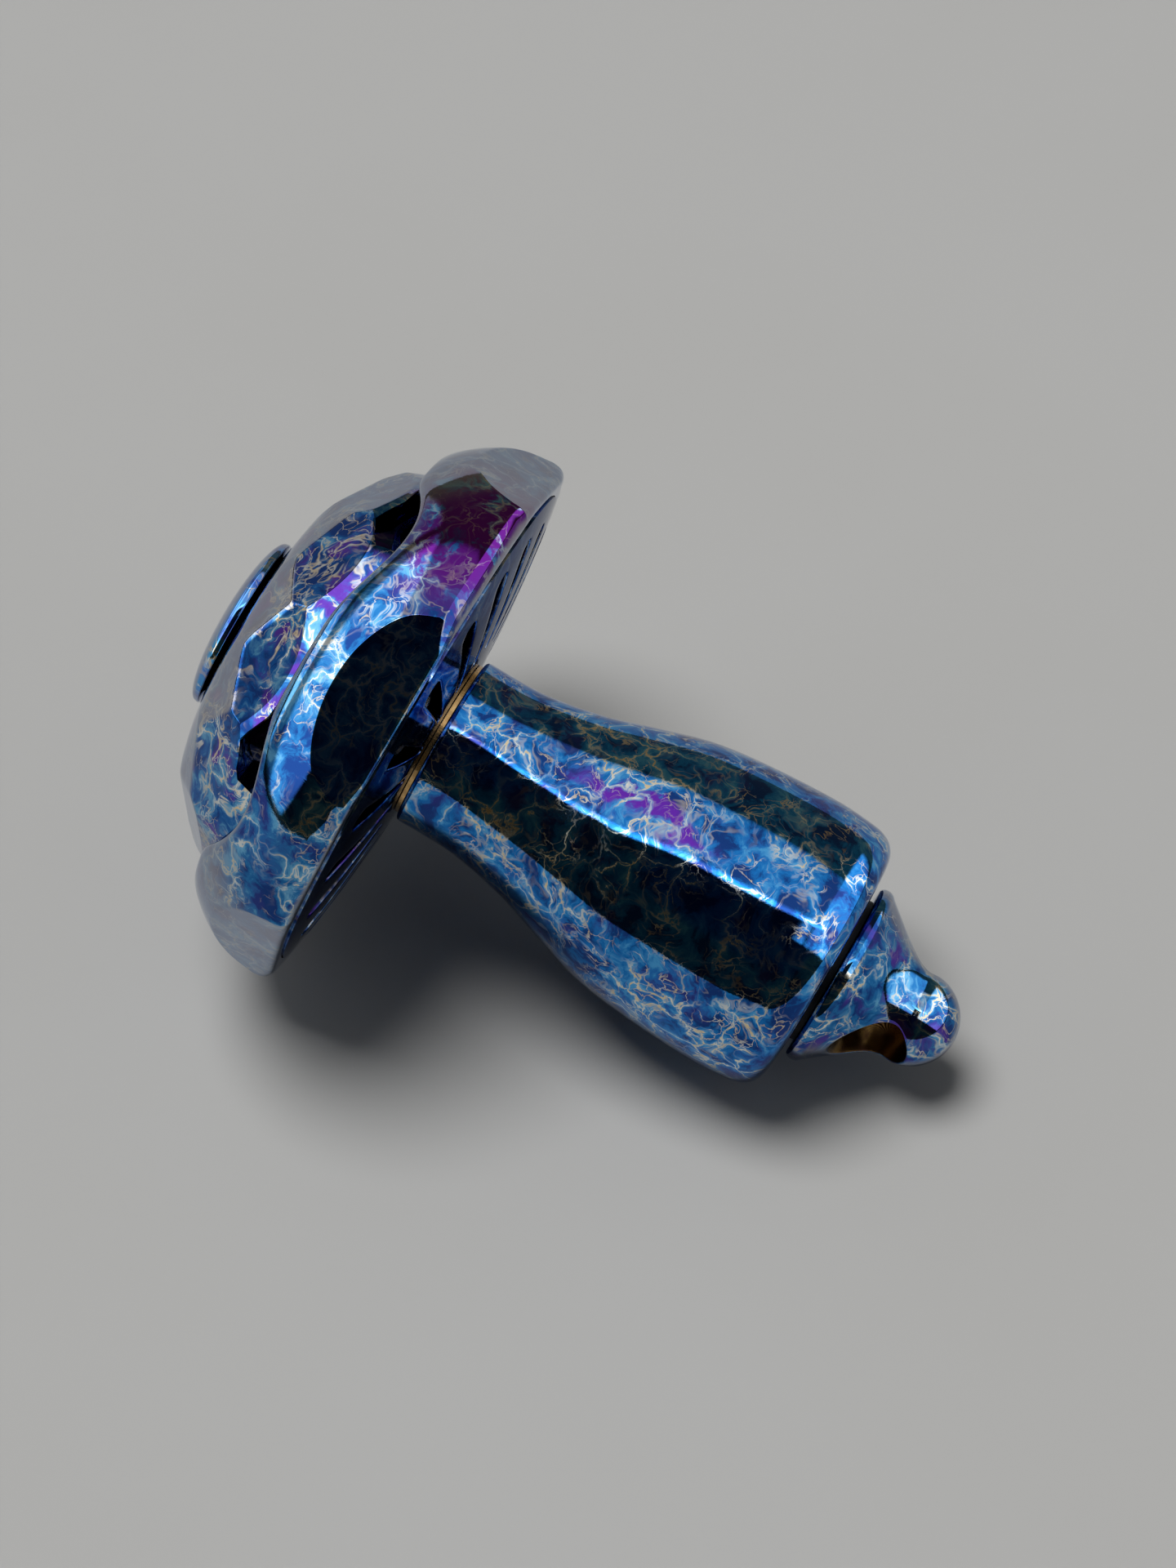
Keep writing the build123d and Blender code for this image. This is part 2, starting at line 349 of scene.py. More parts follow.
def dome_outline(azimuth):
    """Round from the axle's hole: facets, bevelled side, petal edge, wall under the petals and hub's seat."""
    top_r = bevel_meeting(azimuth)
    top = [(r, dome_height(r, azimuth)) for r, _ in straight((DOME_HOLE_R, 0), (top_r - 0.1, 0), 64)]
    meet_z = dome_height(top_r, azimuth)
    edge = max(petal_edge_height(azimuth), PETAL_LOWEST)
    side_start = (bevel_radius(meet_z - 0.1), meet_z - 0.1)
    side_end = (bevel_radius(edge + 0.12), edge + 0.12)
    notch_floor = BOWL_FLOOR + 0.15
    points = top + bend(top[-1], (top_r, meet_z), side_start, 4)[1:]
    points += straight(side_start, side_end, 10)[1:]
    points += bend(side_end, (bevel_radius(edge), edge), (bevel_radius(edge) - 0.15, edge + 0.02), 3)[1:]
    points += [(NOTCH_R + 0.1, edge + 0.05), (NOTCH_R, edge - 0.05)]
    points += straight((NOTCH_R, edge - 0.05), (NOTCH_R, notch_floor), 4)[1:]
    points += [(9.45, notch_floor), (HUB_R + 0.3, notch_floor), (HUB_R + 0.3, 7.5)]
    points += [(8.0, 9.2), (6.8, 10.1), (DOME_HOLE_R, 10.3)]
    return [(r, RIM_Z + z) for r, z in points]


def dome_azimuths():
    """Even, with more where one petal ends and the next begins."""
    petal_ends = [petal * LOBE_STEP + PETAL_END for petal in range(PETAL_COUNT)]
    fine = [end + off for end in petal_ends for off in (-0.4, -0.15, -0.02, 0.02, 0.15, 0.4)]
    return sorted({round(a % 360, 4) for a in all_round(480) + fine})


def petal_dome(material, painted_shade_material):
    """The wall behind the openings under the petals is painted dark as painted shade."""
    petals = finished("petals", turned(dome_azimuths(), dome_outline), material, "cap", "petal_dome")
    petals.data.materials.append(painted_shade_material)
    for face in petals.data.polygons:
        x, y, z = face.center / MM
        on_wall = NOTCH_R - 0.1 < sqrt(x * x + y * y) < NOTCH_R + 0.12
        # The wall under the petals gets the nearly black painted shade
        face.material_index = 1 if on_wall and z - RIM_Z < NOTCH_TOP else 0
    return petals


# Stem

STEM_FOOT_R = 8.7
FOOT_ROUND_TOP = 10.7
STEM_OUTSIDE = smooth([(NECK_R, 34.9), (5.45, 31.4), (6.1, 27.8), (7.0, 24.9), (8.1, 21.2), (8.6, 17.4),
                       (8.83, 13.1), (STEM_FOOT_R, FOOT_ROUND_TOP)], 9)
STEM_INSIDE = smooth([(6.9, 13.0), (6.7, 17.4), (6.1, 21.2), (5.0, 24.9), (4.2, 28.4)], 4)
AXLE_HOLE_R = 2.5


def stem_outline(_azimuth):
    """The hollow stem is round, so its outline is the same at every azimuth."""
    points = bend((NECK_R - 0.3, STEM_TOP), (NECK_R, STEM_TOP), STEM_OUTSIDE[0], 5) + STEM_OUTSIDE[1:]
    points += bend((STEM_FOOT_R, FOOT_ROUND_TOP), (8.55, STEM_BASE + 0.1), (7.0, STEM_BASE), 14)[1:]
    points += [(6.9, STEM_BASE)] + STEM_INSIDE
    points += [(3.4, 29.6), (AXLE_HOLE_R, 29.6), (AXLE_HOLE_R, STEM_TOP)]
    return points


def stem(material):
    return finished("stem", turned(all_round(240), stem_outline), material, "stem", "stem_shell")


# Crown button

CROWN_BOSS_R = 3.6
CROWN_THREAD_R = 2.0
CROWN_BOSS_LOW = 42.563


def crown_outline(_azimuth):
    """Rounded lower edge, low dome, then the boss below it, which is bored for the axle's thread."""
    edge_low = CROWN_BASE + 0.12
    edge_high = CROWN_BASE + 0.25
    points = bend((CROWN_R - 0.15, CROWN_BASE), (CROWN_R, CROWN_BASE), (CROWN_R, edge_low), 4)
    for step in range(31):
        a = radians(3 * step)
        points.append((CROWN_R * cos(a) * 0.995, edge_high + (CROWN_TOP - edge_high) * sin(a)))
    points += [(0, CROWN_BASE), (CROWN_THREAD_R, CROWN_BASE), (CROWN_THREAD_R, CROWN_BOSS_LOW)]
    points += [(CROWN_BOSS_R, CROWN_BOSS_LOW), (CROWN_BOSS_R, CROWN_BASE)]
    return points


def crown(material):
    return finished("crown", turned(all_round(180), crown_outline), material, "stem", "crown_button")


# Tail knob

KNOB_TIP_R = 2.93
KNOB_FLARE_TOP = (5.5, 7.3)
KNOB_SIDE = smooth([(KNOB_TIP_R, KNOB_TIP_R), (3.0, 3.5), (3.35, 4.4), (4.0, 5.4), (4.9, 6.55),
                    KNOB_FLARE_TOP], 8)
KNOB_BEAD_MIDDLE = (5.76, 7.75)
SHANK_R = 1.5
SHANK_TOP = 15.6
HOLE_FLARE = 0.22
HOLE_SIDES = 96


def knob_radius(z):
    if z < KNOB_TIP_R:
        return sqrt(max(KNOB_TIP_R ** 2 - (KNOB_TIP_R - z) ** 2, 0))
    return table_value([(height, r) for r, height in KNOB_SIDE], z)


def knob_outline(_azimuth):
    """Round tip, flared side, bead at the top edge, then the shank it turns on."""
    tip = [(KNOB_TIP_R * sin(radians(a)), KNOB_TIP_R * (1 - cos(radians(a)))) for a in range(0, 90, 4)]
    bead = bend(KNOB_FLARE_TOP, (5.72, 7.45), KNOB_BEAD_MIDDLE, 5)[1:]
    bead += bend(KNOB_BEAD_MIDDLE, (5.78, 8.25), (5.45, TAIL_TOP), 6)[1:]
    return tip + KNOB_SIDE + bead + [(SHANK_R, TAIL_TOP), (SHANK_R, SHANK_TOP), (0, SHANK_TOP)]


def hole_ring(bm, t, along):
    """One lengthwise row of the hole cutter's vertices, at angle t round the hole."""
    across = Vector((-along.y, along.x, 0))
    centre = Vector((0, 0, CORD_HOLE_Z))

    def surface(rho):
        """How far along the hole the knob's surface is, this far off its middle line."""
        z = CORD_HOLE_Z + rho * sin(t)
        return sqrt(max(knob_radius(z) ** 2 - (rho * cos(t)) ** 2, 0.01))

    wide = CORD_HOLE_R + HOLE_FLARE
    start = (wide, surface(wide))
    corner = (CORD_HOLE_R, surface(CORD_HOLE_R))
    end = (CORD_HOLE_R, surface(CORD_HOLE_R) - HOLE_FLARE)
    half = [(wide + 0.06, 8), (wide + 0.06, start[1] + 0.5)]
    half += bend(start, corner, end, 8) + [(CORD_HOLE_R, 0.3)]
    ring = []
    for rho, s in half + [(rho, -s) for rho, s in reversed(half)]:
        at = centre + across * rho * cos(t) + Vector((0, 0, rho * sin(t))) + along * s
        ring.append(bm.verts.new(at * MM))
    return ring


def hole_cutter(along):
    """Tube through the tail knob whose ends flare to a rounded edge on the knob's surface."""
    bm = bmesh.new()
    rings = [hole_ring(bm, k * 2 * pi / HOLE_SIDES, along) for k in range(HOLE_SIDES)]
    for here, after in zip(rings, rings[1:] + rings[:1]):
        for k in range(len(here) - 1):
            bm.faces.new((here[k], after[k], after[k + 1], here[k + 1]))
    bm.faces.new([ring[0] for ring in rings])
    bm.faces.new([ring[-1] for ring in reversed(rings)])
    bmesh.ops.recalc_face_normals(bm, faces=bm.faces)
    mesh = bpy.data.meshes.new("hole_cutter")
    bm.to_mesh(mesh)
    bm.free()
    cutter = bpy.data.objects.new("hole_cutter", mesh)
    bpy.context.scene.collection.objects.link(cutter)
    return cutter


def cut_away(piece, cutter):
    """Gives the piece a new mesh with the cutter's shape taken out of it. The cutter is removed."""
    cut = piece.modifiers.new("cord_hole", "BOOLEAN")
    cut.operation = "DIFFERENCE"
    cut.solver = "EXACT"
    cut.object = cutter
    cut_mesh = bpy.data.meshes.new_from_object(piece.evaluated_get(bpy.context.evaluated_depsgraph_get()))
    piece.modifiers.clear()
    piece.data = cut_mesh
    bpy.data.objects.remove(cutter)


def tail_knob(material, hole_material):
    """The inside of the cord hole has its own colour."""
    knob = finished("knob", turned(all_round(180), knob_outline), material, "tail", "tail_knob")
    hole_angle = radians(CORD_HOLE_ANGLE)
    along = Vector((cos(hole_angle), sin(hole_angle), 0))
    cut_away(knob, hole_cutter(along))
    knob.data.materials.clear()
    knob.data.materials.append(material)
    knob.data.materials.append(hole_material)
    for face in knob.data.polygons:
        off = face.center / MM - Vector((0, 0, CORD_HOLE_Z))
        rho = (off - along * off.dot(along)).length
        face.material_index = 1 if rho < CORD_HOLE_R + 0.04 else 0
    smooth_shaded(knob.data)
    return knob


# Gill plate: underside of the cap

GILL_COUNT = 20
GILL_STEP = 360 / GILL_COUNT
GILL_OUT = (13.5, 0.78)
GILL_IN = (6.9, 0.22)
SLOT_LOW = GILL_IN[0] - GILL_IN[1]
SLOT_HIGH = GILL_OUT[0] + GILL_OUT[1]
SLOT_EDGE_ROUND = 0.13
RIB_STEPS = 8
RibRow = namedtuple("RibRow", "low top edges")


def gill_half_width(radius):
    """Half the width of a slot: two circles joined by their tangents, zero beyond them."""
    (r1, w1), (r0, w0) = GILL_OUT, GILL_IN
    lean = asin((w1 - w0) / (r1 - r0))
    low = r0 - w0 * sin(lean)
    high = r1 - w1 * sin(lean)
    if radius < low:
        return sqrt(max(w0 ** 2 - (radius - r0) ** 2, 0))
    if radius > high:
        return sqrt(max(w1 ** 2 - (radius - r1) ** 2, 0))
    return w0 * cos(lean) + (radius - low) * tan(lean)


def underside(radius):
    """The underside curves up from the neck towards the rim."""
    out = max(radius - NECK_R, 0)
    return CAP_BASE + out * 0.04 + out ** 2 * 0.0066


def plate_top(radius):
    return table_value([(4.2, 36.5), (HUB_SHOULDER_R + 0.6, 36.5), (LIP_R - 0.9, RIM_Z + LIP_SEAT),
                        (LIP_R, RIM_Z + LIP_SEAT)], radius)


def gill_radii():
    """Radii of the plate's rows, close together at the round ends of the slots."""
    inner_angles = (0, 15, 35, 60, 90)
    outer_angles = (90, 75, 60, 48, 36, 24, 14, 6, 0)
    inner_turns = [SLOT_LOW + GILL_IN[1] * (1 - cos(radians(a))) for a in inner_angles]
    outer_turns = [SLOT_HIGH - GILL_OUT[1] * (1 - cos(radians(a))) for a in outer_angles]
    slot_radii = inner_turns + [7.6 + 0.7 * k for k in range(7)] + outer_turns
    return [4.25, 4.8, NECK_R, 6.0] + sorted({round(r, 5) for r in slot_radii}) + [14.8, 15.3, LIP_R - 0.06]


def rib_row(bm, radius, first_slot):
    """A rib's vertices at one radius: along the underside, along the top, and up the edge on each side."""
    half = gill_half_width(radius) if SLOT_LOW < radius < SLOT_HIGH else 0
    soft = min(SLOT_EDGE_ROUND, half * 0.6)

    def across(half_width, height):
        start = degrees(asin(half_width / radius))
        azimuths = [start + (GILL_STEP - 2 * start) * k / RIB_STEPS for k in range(RIB_STEPS + 1)]
        return [bm.verts.new(place(radius, first_slot + azimuth, height)) for azimuth in azimuths]

    low = across(half + soft, underside(radius))
    top = across(half, plate_top(radius))
    edges = []
    for slot, sign in ((first_slot, 1), (first_slot + GILL_STEP, -1)):
        edge = []
        for a in [radians(angle) for angle in (30, 60, 90)]:
            off = degrees(asin((half + soft * (1 - sin(a))) / radius))
            height = underside(radius) + soft * (1 - cos(a))
            edge.append(bm.verts.new(place(radius, slot + sign * off, height)))
        edges.append(edge)
    return RibRow(low, top, edges)


def join_rib_rows(bm, here, after, beside_slot):
    """Faces between two rows of a rib. The slots' walls get the second material, which is painted shade."""
    for near, far in ((here.low, after.low), (here.top, after.top)):
        for k in range(RIB_STEPS):
            bm.faces.new((near[k], near[k + 1], far[k + 1], far[k]))
    if not beside_slot:
        return
    for side, end in ((0, 0), (1, RIB_STEPS)):
        near = [here.low[end]] + here.edges[side] + [here.top[end]]
        far = [after.low[end]] + after.edges[side] + [after.top[end]]
        for k in range(len(near) - 1):
            wall = bm.faces.new((near[k], near[k + 1], far[k + 1], far[k]))
            # Painted shade on the upper faces of the slot's wall
            wall.material_index = 1 if k > 1 else 0


def gill_plate(material, slot_painted_shade):
    """Each rib between two slots is swept outwards from the neck to the lip. The slots' walls are painted
    dark as painted shade.
    """
    radii = gill_radii()
    bm = bmesh.new()
    for gill in range(GILL_COUNT):
        rows = [rib_row(bm, radius, (gill + 0.5) * GILL_STEP) for radius in radii]
        for i in range(len(radii) - 1):
            beside_slot = SLOT_LOW <= radii[i] + 1e-4 and radii[i + 1] - 1e-4 <= SLOT_HIGH
            join_rib_rows(bm, rows[i], rows[i + 1], beside_slot)
        for row in (rows[0], rows[-1]):
            for k in range(RIB_STEPS):
                bm.faces.new((row.low[k], row.low[k + 1], row.top[k + 1], row.top[k]))
    loose = [v for v in bm.verts if not v.link_faces]
    bmesh.ops.delete(bm, geom=loose, context="VERTS")
    plate = finished("gills", bm, material, "cap", "gill_plate")
    plate.data.materials.append(slot_painted_shade)
    return plate


# Node trees

class Nodes:
    """A node tree written as nested calls. An input is a number, a colour or another node's output."""

    def __init__(self, tree):
        self.tree = tree
        tree.nodes.clear()

    def add(self, kind, inputs=None, output=0, **settings):
        node = self.tree.nodes.new(kind)
        for key, value in settings.items():
            setattr(node, key, value)
        for key, value in (inputs or {}).items():
            if isinstance(value, bpy.types.NodeSocket):
                self.tree.links.new(value, node.inputs[key])
            else:
                node.inputs[key].default_value = value
        return node.outputs[output] if node.outputs else None

    def math(self, operation, a, b=0.0, clamp=False):
        return self.add("ShaderNodeMath", {0: a, 1: b}, operation=operation, use_clamp=clamp)

    def plus(self, a, b):
        return self.math("ADD", a, b)

    def minus(self, a, b):
        return self.math("SUBTRACT", a, b)

    def times(self, first, *others):
        for other in others:
            first = self.math("MULTIPLY", first, other)
        return first

    def largest(self, first, *others):
        for other in others:
            first = self.math("MAXIMUM", first, other)
        return first

    def vector(self, operation, a, b=(0, 0, 0)):
        return self.add("ShaderNodeVectorMath", {0: a, 1: b}, operation=operation)

    def scaled(self, a, factor):
        return self.add("ShaderNodeVectorMath", {0: a, "Scale": factor}, operation="SCALE")

    def dot(self, a, b):
        return self.add("ShaderNodeVectorMath", {0: a, 1: tuple(b)}, output="Value", operation="DOT_PRODUCT")

    def length(self, a):
        return self.add("ShaderNodeVectorMath", {0: a}, output="Value", operation="LENGTH")

    def up_part(self, a):
        return self.add("ShaderNodeSeparateXYZ", {0: a}, output="Z")

    def span(self, value, low, high, to_low=0.0, to_high=1.0, kind="SMOOTHSTEP"):
        """Carries the range from low to high over to another one, and stays level beyond it."""
        return self.add("ShaderNodeMapRange", {0: value, 1: low, 2: high, 3: to_low, 4: to_high},
                        interpolation_type=kind)

    def fading(self, value, low, high):
        return self.span(value, low, high, 1.0, 0.0)

    def mix(self, factor, a, b):
        """Mixes two colours."""
        return self.add("ShaderNodeMix", {0: factor, 6: a, 7: b}, output=2, data_type="RGBA")

    def between(self, factor, a, b):
        """Mixes two numbers."""
        return self.add("ShaderNodeMix", {0: factor, 2: a, 3: b}, output=0)

    def noise(self, vector, scale, detail=4.0, roughness=0.55, distortion=0.0, output="Fac"):
        inputs = {"Vector": vector, "Scale": scale, "Detail": detail, "Roughness": roughness,
                  "Distortion": distortion}
        return self.add("ShaderNodeTexNoise", inputs, output=output)

    def cells(self, vector, scale, feature="DISTANCE_TO_EDGE"):
        return self.add("ShaderNodeTexVoronoi", {"Vector": vector, "Scale": scale}, output="Distance",
                        feature=feature)

    def bump(self, height, strength, distance):
        return self.add("ShaderNodeBump", {"Strength": strength, "Distance": distance, "Height": height})

    def mm(self):
        """Place on the object in millimetres."""
        return self.scaled(self.add("ShaderNodeTexCoord", output="Object"), 1000.0)

    def ray(self, kind):
        return self.add("ShaderNodeLightPath", output=kind)


def rgb(r, g, b):
    return (r, g, b, 1.0)


def new_material(name):
    material = bpy.data.materials.new(name)
    material.use_nodes = True
    return material, Nodes(material.node_tree)


def warped(n, position, scale, amount, detail=3.0):
    """The position pushed about by noise, by up to this many millimetres."""
    push = n.vector("SUBTRACT", n.noise(position, scale, detail, output="Color"), (0.5, 0.5, 0.5))
    return n.vector("ADD", position, n.scaled(push, amount))


# Heat-coloured titanium

NAVY = rgb(0.012, 0.05, 0.22)
AZURE = rgb(0.014, 0.18, 0.54)
SKY = rgb(0.08, 0.37, 0.74)
TEAL = rgb(0.02, 0.16, 0.42)
PALE_BLUE = rgb(0.12, 0.37, 0.62)
MAGENTA = rgb(0.12, 0.012, 0.22)
VIOLET = rgb(0.15, 0.03, 0.45)
PURPLE_FILM = rgb(0.15, 0.03, 0.40)
HALO_BLUE = rgb(0.26, 0.56, 0.82)
CREAM = rgb(0.82, 0.80, 0.72)
STRAW = rgb(0.78, 0.62, 0.38)
# Grey painted into the metal's colour as painted reflection and painted light
PAINTED_SHEEN_GREY = rgb(0.47, 0.45, 0.43)

# Colours of the ground from furthest to nearest to a vein
Ground = namedtuple("Ground", "deep middle pale")
# A blotch of its own colour: its centre and its reach along each axis, in millimetres
Patch = namedtuple("Patch", "centre reach colour")


def vein_pattern(n, mm, rough_warp, scale, ribbons):
    """Veins along the edges of two sizes of cell, with a few ribbons along the noise's contour.

    Also returns the distance to the nearest large cell's edge, and how strong the veins are thereabouts.
    """
    vein_warp = warped(n, rough_warp, 1.3, 1.1)
    edge = n.cells(vein_warp, scale)
    small_edge = n.cells(n.vector("ADD", vein_warp, (31.0, 7.0, 3.0)), scale * 2.4)
    strength = n.span(n.noise(mm, 0.22, 2.0), 0.38, 0.58)
    core = n.times(n.fading(edge, 0.008, 0.030), strength)
    small_core = n.times(n.fading(small_edge, 0.01, 0.045), n.span(n.noise(mm, 0.45, 2.0), 0.46, 0.6))
    flow = n.math("ABSOLUTE", n.minus(n.noise(rough_warp, 0.42, 3.0, 0.5, 0.6), 0.5))
    ribbon = n.times(n.fading(flow, 0.0, 0.03), n.span(n.noise(mm, 0.16, 2.0), 0.44, 0.6))
    core = n.largest(core, n.times(ribbon, ribbons))
    return n.largest(core, n.times(small_core, 0.7)), edge, strength


def film_colours(n, rough_warp, fine_warp, edge, strength, colours, purple):
    """From pale to deep with the distance from a vein, broken up by noise, with purple in the deep parts."""
    smoke = n.minus(n.noise(fine_warp, 0.9, 6.0, 0.62), 0.5)
    drift = n.minus(n.noise(rough_warp, 0.25, 3.0), 0.5)
    away = n.plus(n.times(smoke, 0.9), n.times(drift, 0.45))
    away = n.plus(away, n.times(edge, 0.7))
    away = n.plus(away, n.times(strength, -0.08))
    film = n.mix(n.span(away, -0.16, 0.05), colours.pale, colours.middle)
    film = n.mix(n.span(away, 0.03, 0.22), film, colours.deep)
    cloud = n.span(n.noise(n.vector("ADD", rough_warp, (0.0, 40.0, 9.0)), 0.28, 3.0), 0.5, 0.62)
    return n.mix(n.times(cloud, n.span(away, -0.05, 0.1), purple), film, PURPLE_FILM)


def patch_cover(n, fine_warp, patch):
    """How far a patch covers the ground: 1 near its centre, 0 beyond its reach, with a broken edge."""
    off = n.vector("DIVIDE", n.vector("SUBTRACT", fine_warp, patch.centre), patch.reach)
    return n.times(n.fading(n.length(off), 0.4, 1.0), n.span(n.noise(fine_warp, 0.45, 4.0), 0.34, 0.46))


def painted_sheen_cover(n, painted_sheen_from, painted_sheen_most, painted_top_light):
    """Grey painted into the colour as a painted reflection where the surface turns away from the eye, and as
    painted light, up to the given share, where it faces up.
    """
    facing = n.add("ShaderNodeLayerWeight", {"Blend": 0.5}, output="Facing")
    sheen = n.span(facing, painted_sheen_from, painted_sheen_from + 0.25, 0.0, painted_sheen_most)
    if painted_top_light:
        upward = n.up_part(n.add("ShaderNodeNewGeometry", output="Normal"))
        sheen = n.largest(sheen, n.span(upward, 0.74, 0.82, 0.0, painted_top_light))
    return sheen


def heat_coloured(name, colours, vein_scale=0.36, vein_amount=1.0, vein_rough=0.08, ribbons=0.5, purple=0.35,
                  patch=None, painted_sheen_from=0.5, painted_sheen_most=0.65, painted_top_light=0, edge_tint=(0.76, 0.8, 0.88)):
    """Mirror-polished titanium in heat colours: cream veins, then paler to deeper blues further off."""
    material, n = new_material(name)
    mm = n.mm()
    rough_warp = warped(n, mm, 0.35, 3.4, 2.0)
    fine_warp = warped(n, rough_warp, 1.7, 1.4, 6.0)
    pattern, edge, strength = vein_pattern(n, mm, rough_warp, vein_scale, ribbons)
    veins = n.math("MULTIPLY", pattern, vein_amount, clamp=True)
    ground = film_colours(n, rough_warp, fine_warp, edge, strength, colours, purple)
    if patch:
        cover = patch_cover(n, fine_warp, patch)
        ground = n.mix(cover, ground, patch.colour)
        veins = n.times(veins, n.minus(1.0, n.times(cover, 0.55)))
    halo = n.times(n.fading(edge, 0.0, 0.085), n.times(strength, 0.6 * vein_amount))
    tint = n.mix(halo, ground, HALO_BLUE)
    cream = n.mix(n.span(n.noise(mm, 1.1, 3.0), 0.4, 0.6), CREAM, STRAW)
    tint = n.mix(veins, tint, cream)
    # Painted sheen: grey painted over the colour as painted reflection at grazing angles and as painted light
    # on upward faces
    tint = n.mix(painted_sheen_cover(n, painted_sheen_from, painted_sheen_most, painted_top_light), tint, PAINTED_SHEEN_GREY)
    roughness = n.plus(n.times(veins, vein_rough), n.span(n.noise(mm, 0.8, 4.0), 0.3, 0.7, 0.02, 0.06))
    shader = n.add("ShaderNodeBsdfPrincipled", {"Base Color": tint, "Metallic": 1.0, "Roughness": roughness,
                                                "Specular Tint": rgb(*edge_tint),
                                                "Normal": n.bump(n.noise(mm, 6.0, 3.0), 0.05, 0.00002)})
    n.add("ShaderNodeOutputMaterial", {0: shader})
    return material


def skirt_titanium():
    """Magenta on the right, with weaker veins."""
    magenta = Patch((12.0, -12.5, RIM_Z + 2.2), (9.0, 9.0, 6.0), MAGENTA)
    return heat_coloured("skirt_titanium", Ground(NAVY, TEAL, PALE_BLUE), vein_scale=0.38, vein_amount=0.75,
                         vein_rough=0.03, purple=0.1, patch=magenta, painted_sheen_from=0.42, painted_sheen_most=0.62)


def dome_titanium():
    """Many ribbons, with painted light: a grey sheen painted over the top."""
    return heat_coloured("dome_titanium", Ground(NAVY, rgb(0.014, 0.12, 0.40), PALE_BLUE), vein_scale=0.4,
                         ribbons=0.9, purple=0.7, painted_sheen_most=0.6, painted_top_light=0.68)


def stem_titanium():
    """Bright blue with a narrow violet streak."""
    violet = Patch((2.6, -7.4, 23.0), (0.9, 4.0, 7.0), VIOLET)
    return heat_coloured("stem_titanium", Ground(NAVY, AZURE, SKY), vein_scale=0.42, vein_rough=0.12,
                         ribbons=0.35, purple=0.15, patch=violet, painted_sheen_from=0.72, painted_sheen_most=0.4)


def crown_titanium():
    colours = Ground(rgb(0.05, 0.12, 0.50), rgb(0.12, 0.30, 0.72), SKY)
    return heat_coloured("crown_titanium", colours, purple=0.4)


def knob_titanium():
    return heat_coloured("knob_titanium", Ground(NAVY, TEAL, PALE_BLUE), vein_scale=0.42, purple=0.5)


def gill_titanium():
    """Dark blue-grey with faint veins."""
    colours = Ground(rgb(0.02, 0.03, 0.09), rgb(0.04, 0.10, 0.26), rgb(0.10, 0.20, 0.40))
    return heat_coloured("gill_titanium", colours, vein_amount=0.35, purple=0.2, painted_sheen_most=0.1,
                         edge_tint=(0.33, 0.36, 0.46))


def painted_shade_titanium():
    """Nearly black painted shade, for the slots and the wall under the petals."""
    colours = Ground(rgb(0.004, 0.006, 0.02), rgb(0.01, 0.016, 0.05), rgb(0.02, 0.04, 0.10))
    return heat_coloured("painted_shade_titanium", colours, vein_amount=0.15, purple=0.2, painted_sheen_most=0.0,
                         edge_tint=(0.1, 0.14, 0.25))


# Other materials

def turned_metal(name, light, dark, rough, ring_scale=9.0):
    """Metal off the lathe: fine rings round the axis, with slight tarnish."""
    material, n = new_material(name)
    mm = n.mm()
    rings = n.add("ShaderNodeTexWave", {"Vector": mm, "Scale": ring_scale, "Distortion": 0.6, "Detail": 2.0},
                  output="Fac", wave_type="RINGS", rings_direction="Z")
    tarnish = n.span(n.noise(mm, 0.9, 5.0), 0.35, 0.65)
    colour = n.mix(tarnish, light, dark)
    roughness = n.plus(rough, n.times(n.plus(tarnish, rings), 0.06))
    shader = n.add("ShaderNodeBsdfPrincipled", {"Base Color": colour, "Metallic": 1.0, "Roughness": roughness,
                                                "Normal": n.bump(rings, 0.2, 0.00003)})
    n.add("ShaderNodeOutputMaterial", {0: shader})
    return material


def cord_hole_gold():
    return turned_metal("cord_hole_gold", rgb(0.17, 0.10, 0.03), rgb(0.05, 0.022, 0.012), 0.12)


def bare_titanium():
    return turned_metal("bare_titanium", rgb(0.46, 0.44, 0.42), rgb(0.34, 0.32, 0.30), 0.28)


def bronze():
    return turned_metal("bronze", rgb(0.80, 0.52, 0.22), rgb(0.50, 0.30, 0.12), 0.2)


def bearing_steel():
    return turned_metal("bearing_steel", rgb(0.66, 0.67, 0.70), rgb(0.52, 0.53, 0.56), 0.12, ring_scale=14.0)


def black_rubber():
    """Matt and slightly grainy."""
    material, n = new_material("black_rubber")
    grain = n.noise(n.mm(), 9.0, 5.0)
    colour = n.mix(n.span(grain, 0.35, 0.7), rgb(0.006, 0.006, 0.007), rgb(0.022, 0.022, 0.024))
    roughness = n.span(grain, 0.2, 0.8, 0.5, 0.75)
    shader = n.add("ShaderNodeBsdfPrincipled", {"Base Color": colour, "Roughness": roughness,
                                                "Normal": n.bump(grain, 0.3, 0.00003)})
    n.add("ShaderNodeOutputMaterial", {0: shader})
    return material


def table_paint():
    """Pale matt table top with faint smudges and specks. Its underside is clear."""
    material, n = new_material("pale_table")
    mm = n.mm()
    smudge = n.span(n.noise(warped(n, mm, 0.02, 30.0), 0.03, 6.0), 0.35, 0.7)
    colour = n.mix(n.times(smudge, 0.35), rgb(0.50, 0.498, 0.488), rgb(0.48, 0.474, 0.457))
    specks = n.times(n.fading(n.cells(mm, 0.05, "F1"), 0.0, 0.02), 0.5)
    colour = n.mix(specks, colour, rgb(0.30, 0.29, 0.27))
    shader = n.add("ShaderNodeBsdfPrincipled", {"Base Color": colour, "Roughness": 0.6})
    clear = n.add("ShaderNodeBsdfTransparent")
    behind = n.add("ShaderNodeNewGeometry", output="Backfacing")
    n.add("ShaderNodeOutputMaterial", {0: n.add("ShaderNodeMixShader", {0: behind, 1: shader, 2: clear})})
    return material


# Surroundings

